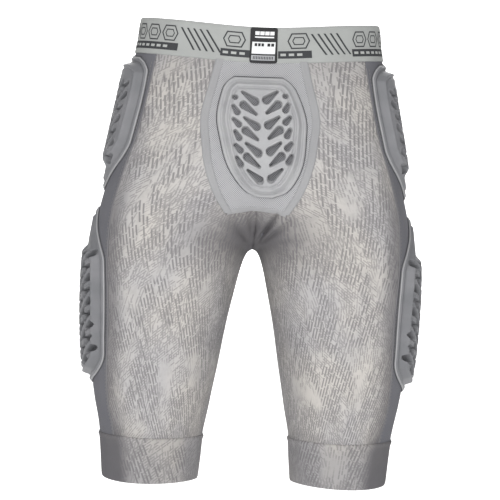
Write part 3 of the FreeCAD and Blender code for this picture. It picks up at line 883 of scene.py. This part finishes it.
ARCH_HALF, ARCH_LEVEL, ARCH_HALF_WIDTH, ARCH_LIFT, ARCH_CROWN = 36, 347, 3.5, 0.4, 1.2
ARCH_COLUMNS, ARCH_ROWS = 60, 9
bx = np.linspace(-ARCH_HALF, ARCH_HALF, ARCH_COLUMNS)[:, None]
bv = np.linspace(-1, 1, ARCH_ROWS)[None, :]
bz = ARCH_LEVEL - SHIELD_ARCH * (bx / ARCH_HALF) ** 2 + ARCH_HALF_WIDTH * bv
bp = skin(on_back(bx + 0 * bz, bz), ARCH_LIFT + ARCH_CROWN * (1 - bv ** 6))
obj = build("seat_tape_arch", bp, quads(ARCH_COLUMNS, ARCH_ROWS), np.stack([bz, bx + 0 * bz], -1), tape)
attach(obj, "pelvis")

# ---------------- gusset lining, inside the crotch seam

GUSSET_HALF, GUSSET_BACK, GUSSET_FRONT, GUSSET_DEPTH, GUSSET_THICKNESS = 12, -72, 46, 3.6, 0.8
GUSSET_COLUMNS, GUSSET_ROWS, GUSSET_LOW, GUSSET_HIGH = 13, 40, 200.0, 350.0
gx = np.linspace(-GUSSET_HALF, GUSSET_HALF, GUSSET_COLUMNS)[:, None] + np.zeros((1, GUSSET_ROWS))
gy = np.linspace(GUSSET_BACK, GUSSET_FRONT, GUSSET_ROWS)[None, :] + 0 * gx
gz = root(lambda z: -field(gx, gy, z), GUSSET_LOW + 0 * gx, GUSSET_HIGH + 0 * gx)
gp = np.stack([gx, gy, gz], -1)
gusset = build("gusset_lining", gp - GUSSET_DEPTH * normals(gp), quads(GUSSET_COLUMNS, GUSSET_ROWS),
               np.stack([gx, gy], -1), side_cloth, flip=True)
thicken(gusset, GUSSET_THICKNESS)
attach(gusset, "pelvis")
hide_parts("crotch_gusset")


# ---------------- pads

# From a pad's edge inwards: its rounded edge, a raised lip and the shallow channel inside that.
EDGE_ROUND = 1.8
LIP_HEIGHT, LIP_PLACE, LIP_WIDTH = 0.8, 2.6, 1.5
CHANNEL_DEPTH, CHANNEL_PLACE, CHANNEL_WIDTH = 0.7, 5.2, 1.0
DOME_START, DOME_SHARE, DOME_FADE = 6, 0.35, 12  # where the middle rises, and the share kept at the flat end
CROWN_HEIGHT, CROWN_REACH = 0.8, 20
SLOT_FLOOR, SLOT_WALL, RIM_HEIGHT, RIM_PLACE, RIM_WIDTH = 1.2, 1.1, 0.5, 2.0, 1.3
OUTLINE_STEPS, LOOP_POINTS = 160, 300


def ridge(x, place, width):
    """A soft ridge of height 1 about one place."""
    return np.exp(-((x - place) / width) ** 2)


def leaf(w, z, cw, cz, length, wide, thin, turn):
    """Distance outside a leaf-shaped slot, `wide` across at its start and `thin` at its end."""
    c, s = math.cos(turn), math.sin(turn)
    a = (w - cw) * c + (z - cz) * s + length / 2
    b = -(w - cw) * s + (z - cz) * c
    t = np.clip(a / length, 0, 1)
    return np.hypot(a - t * length, b) - (wide + (thin - wide) * t) / 2


def outline_distance(w, z, keys):
    """How far inside a pad's outline each point lies."""
    h = np.linspace(keys[0][0], keys[-1][0], OUTLINE_STEPS)
    half = curve(keys)(h)
    loop = np.concatenate([np.stack([half, h], -1), np.stack([-half, h], -1)[::-1]])
    a, b = loop, np.roll(loop, -1, 0)
    p = np.stack([w, z], -1).reshape(-1, 1, 2)
    d = b - a
    t = np.clip(((p - a) * d).sum(-1) / np.maximum((d * d).sum(-1), 1e-9), 0, 1)
    near = a + t[..., None] * d
    return np.linalg.norm(p - near, axis=-1).min(1).reshape(w.shape)


def chevrons(half, columns, low, rows, pitch, length, wide, thin, turn, margin):
    """Leaf slots that climb outwards, kept inside the pad's raised middle."""
    out = []
    for k in range(rows):
        for c, w in enumerate(columns):
            z = low + k * pitch
            if abs(w) + length * 0.42 * math.cos(turn) > half(z + length * 0.3) - margin:
                continue
            ends = (thin, wide) if (k + c) % 2 else (wide, thin)
            out.append((w, z, length, *ends, math.pi - turn if w < 0 else turn))
    return out


def pad(keys, place, slots, rise, flange, base, groove, flat_end, columns, rows):
    """A moulded foam pad with a ridged edge, a flat flange and slots down to its mesh backing.

    rise, flange and base are heights; groove is the place and depth of the trench round the raised middle;
    flat_end is the level where the middle flattens, and +1 or -1 for its lower or upper end.
    """
    half = curve(keys)
    low, high = keys[0][0], keys[-1][0]
    u, v = np.linspace(-1, 1, columns)[:, None], np.linspace(0, 1, rows)[None, :]
    z = low + v * (high - low) + 0 * u
    w = u * half(z)
    e = outline_distance(w, z, keys)
    edge = flange * (1 - np.clip(1 - e / EDGE_ROUND, 0, 1) ** 2) ** 0.5
    lip = LIP_HEIGHT * ridge(e, LIP_PLACE, LIP_WIDTH)
    channel = CHANNEL_DEPTH * ridge(e, CHANNEL_PLACE, CHANNEL_WIDTH)
    start, sunk = groove
    end_level, end_side = flat_end
    kept = DOME_SHARE + (1 - DOME_SHARE) * smooth(end_side * (z - end_level) / DOME_FADE)
    dome = rise * smooth((e - DOME_START) / (start - DOME_START - 1)) * kept
    trench = -sunk * ridge(e - start, 2, 1.7)
    crown = CROWN_HEIGHT * smooth((e - start - 4) / CROWN_REACH)
    lift = base + edge + (lip - channel) + dome + trench + crown
    gap = np.full(z.shape, 1e3)
    for s in slots:
        gap = np.minimum(gap, leaf(w, z, *s))
    wall = smooth((gap + 0.1) / SLOT_WALL)
    rim = RIM_HEIGHT * ridge(gap, RIM_PLACE, RIM_WIDTH) * (gap < 30)
    floor = base + SLOT_FLOOR
    lift = floor + (lift + rim - floor) * wall
    p = place(w, z)
    lift = np.where(e <= 1e-6, base - 0.4, lift)
    p = p + normals(p) * (lift + drape(p))[..., None]
    f = quads(columns, rows)
    # Faces deep in the slots take the backing mesh, whose colour also carries painted shade.
    deep = (wall.reshape(-1)[f].max(1) < 0.25).astype(int)
    return p, f, np.stack([w, z], -1), deep


def add_pad(node, suffix, sign, made, foam_colour):
    """One pad in place of its CAD shell and backing."""
    p, f, uv, deep = made
    obj = build(node + suffix, mirrored(p, sign), f, uv, materials=[foam_colour, backing], face_slots=deep,
                flip=sign < 0)
    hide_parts(f"{node}_shell{suffix}", f"{node}_backing{suffix}")
    return obj


def outline_loop(keys, grow=0.0):
    """Evenly spaced points round a pad's outline, as w and height."""
    half, h = curve(keys), np.linspace(keys[0][0] - grow, keys[-1][0] + grow, OUTLINE_STEPS)
    side = half(h) + grow
    loop = np.concatenate([np.stack([side, h], -1), np.stack([-side, h], -1)[::-1]])
    loop = np.concatenate([loop, loop[:1]])
    step = np.concatenate([[0], np.cumsum(np.linalg.norm(np.diff(loop, axis=0), axis=1))])
    even = np.linspace(0, step[-1], LOOP_POINTS, endpoint=False)
    return np.interp(even, step, loop[:, 0]), np.interp(even, step, loop[:, 1])


def lean(z):
    """The tailbone pad's lower end hangs a little to the right."""
    return 0.1 * (505.0 - z) - 3.5


def paired(across, z, stagger, length, ends, turn):
    """A slot on each side of the middle, the right one a little higher."""
    return [(across, z + stagger, length, *ends, turn),
            (-across, z - stagger, length, *ends, math.pi - turn)]


# The tailbone pad's slots: long leaves by the middle, short ones outside them, and a dot at the top.
TAIL_PITCH, TAIL_SEAM_LIFT, TAIL_SEAM_RADIUS = 14.9, 1.5, 0.6
INNER_ROWS, INNER_LOW, INNER_ACROSS, INNER_LENGTH, INNER_TURN = 7, 391.5, 13.9, 17.0, 0.64
OUTER_ROWS, OUTER_LOW, OUTER_ACROSS, OUTER_LENGTH, OUTER_ENDS = 5, 407.5, 31.0, 8.0, (6.4, 3.8)
DOT_SHAPE = (0.6, 5.2, 4.6, 0.0)
slots = [(30.0, 482, *DOT_SHAPE), (-30.0, 479, *DOT_SHAPE)]
for k in range(INNER_ROWS):
    ends = (8.6, 2.2) if k % 2 == 0 else (2.4, 8.6)
    slots += paired(INNER_ACROSS, INNER_LOW + TAIL_PITCH * k, 1, INNER_LENGTH, ends, INNER_TURN)
for k in range(OUTER_ROWS):
    steep = 1.05 if k % 2 == 0 else 0.8
    slots += paired(OUTER_ACROSS, OUTER_LOW + TAIL_PITCH * k, 2, OUTER_LENGTH, OUTER_ENDS, steep)
made = pad(TAILBONE_PAD, lambda w, z: on_back(lean(z) + w, z), slots, rise=6.0, flange=2.2, base=2.0,
           groove=(12.0, 2.4), flat_end=(300, 1), columns=200, rows=280)
tail = add_pad("tailbone_pad", "", 1, made, pad_foam)
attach(tail, "pelvis")
w, z = outline_loop(TAILBONE_PAD, 0.5)
tail_path = skin(on_back(lean(z) + w, z), TAIL_SEAM_LIFT)
tail_seam = tube("tailbone_pad_edge_seam", tail_path, TAIL_SEAM_RADIUS, seam_dark, 6, closed=True)
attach(tail_seam, "pelvis")

# The hip and thigh pads, with piping on their edges and a stitched groove round that.
SIDE_COLUMNS = (-40.0, -24.5, -9.0, 9.0, 24.5, 40.0)
for node, keys, low, count, flat_end in (("hip_pad", HIP_PAD, 399, 7, (384, 1)),
                                         ("thigh_pad", THIGH_PAD, 148, 10, (290, -1))):
    slots = chevrons(curve(keys), SIDE_COLUMNS, low, count, pitch=14.4, length=13.0, wide=7.8, thin=3.4,
                     turn=0.62, margin=13)
    made = pad(keys, lambda w, z: on_leg(side_angle(w, z), z), slots, rise=9.4, flange=2.6, base=0.4,
               groove=(13.0, 1.6), flat_end=flat_end, columns=190, rows=280)
    for side, sign in SIDES:
        obj = add_pad(node, f"_{side}", sign, made, side_foam)
        cloth_blend(obj)
        for part, grow, lift, radius, material, sides, slot_name in (
                ("piping", 0.0, 1.6, 1.2, piping, 10, "pad_foam"),
                ("edge_seam", 1.9, 0.5, 0.7, seam_dark, 6, "side_fabric")):
            w, z = outline_loop(keys, grow)
            path = skin(on_leg(side_angle(w, z), z), lift)
            line = tube(f"{node}_{part}_{side}", mirrored(path, sign), radius, material, sides, closed=True)
            cloth_blend(line)

# ---------------- floor, light and camera

# In metres and the frame's own directions from here on.
FLOOR_DROP, FLOOR_REACH, FLOOR_GLOW = 0.25, 30.0, 0.55
WALL_DISTANCE, WALL_HALF, WALL_TOP, WALL_GLOW = 5.2, 2.8, 4.9, 0.9
WORLD_LIGHT = 0.34
WHITE, PAPER_WHITE = (1, 1, 1, 1), (0.9, 0.9, 0.9, 1)
LIGHTS = (  # name, place, watts, size
    ("key", (-0.7, -2.4, 1.3), 42, 1.1),
    ("fill", (1.0, -2.6, 0.5), 18, 1.4),
    ("top", (0, 0.3, 1.8), 8, 1.6),
    ("front", (0.4, 2.6, 0.9), 20, 1.8),
)
CAMERA_DISTANCE, CAMERA_SIDE, CAMERA_RISE = 4.2, -2.0, 0.62
TARGET_SIDE, TARGET_RISE = -0.0025, 0.288
VIEW_HEIGHT, ROLL, SENSOR = 0.62, 2.1, 36


def paper_sheet(name, corners, strength):
    """A flat sheet of pale paper that glows a little."""
    mesh = bpy.data.meshes.new(name)
    mesh.from_pydata(corners, [], [[0, 1, 2, 3]])
    paper = Nodes(f"{name}_paper", 0.95)
    paper.shader.inputs["Emission Color"].default_value = WHITE
    paper.shader.inputs["Emission Strength"].default_value = strength
    mesh.materials.append(paper.colour(PAPER_WHITE))
    obj = bpy.data.objects.new(name, mesh)
    bpy.context.scene.collection.objects.link(obj)
    return obj


def aimed(place, at):
    """The turn that points a light or camera from one place at another."""
    return (Vector(at) - Vector(place)).to_track_quat("-Z", "Y")


ground = HEM - FLOOR_DROP
square = ((-1, -1), (1, -1), (1, 1), (-1, 1))
floor = paper_sheet("floor", [(x * FLOOR_REACH, y * FLOOR_REACH, ground) for x, y in square], FLOOR_GLOW)
upright = [(x * WALL_HALF, WALL_DISTANCE, ground if y < 0 else WALL_TOP) for x, y in square]
wall = paper_sheet("backdrop", upright, WALL_GLOW)

world = bpy.data.worlds.new("studio")
bpy.context.scene.world = world
world.use_nodes = True
world.node_tree.nodes["Background"].inputs[0].default_value = WHITE
world.node_tree.nodes["Background"].inputs[1].default_value = WORLD_LIGHT
for name, place, power, extent in LIGHTS:
    data = bpy.data.lights.new(name, "AREA")
    data.energy, data.size = power, extent
    lamp = bpy.data.objects.new(name, data)
    lamp.location = place
    lamp.rotation_euler = aimed(place, (0, 0, HEM / 2)).to_euler()
    bpy.context.scene.collection.objects.link(lamp)

cam_data = bpy.data.cameras.new("camera")
cam_data.sensor_width = SENSOR
cam_data.lens = SENSOR * CAMERA_DISTANCE / VIEW_HEIGHT
cam = bpy.data.objects.new("camera", cam_data)
turn = math.radians(CAMERA_SIDE)
cam.location = (CAMERA_DISTANCE * math.sin(turn), -CAMERA_DISTANCE * math.cos(turn), HEM + CAMERA_RISE)
facing = aimed(cam.location, (TARGET_SIDE, 0.0, HEM + TARGET_RISE))
cam.rotation_euler = (facing.to_matrix() @ Euler((0, 0, math.radians(ROLL))).to_matrix()).to_euler()
bpy.context.scene.collection.objects.link(cam)
bpy.context.scene.camera = cam
bpy.context.scene.view_settings.view_transform = "Standard"
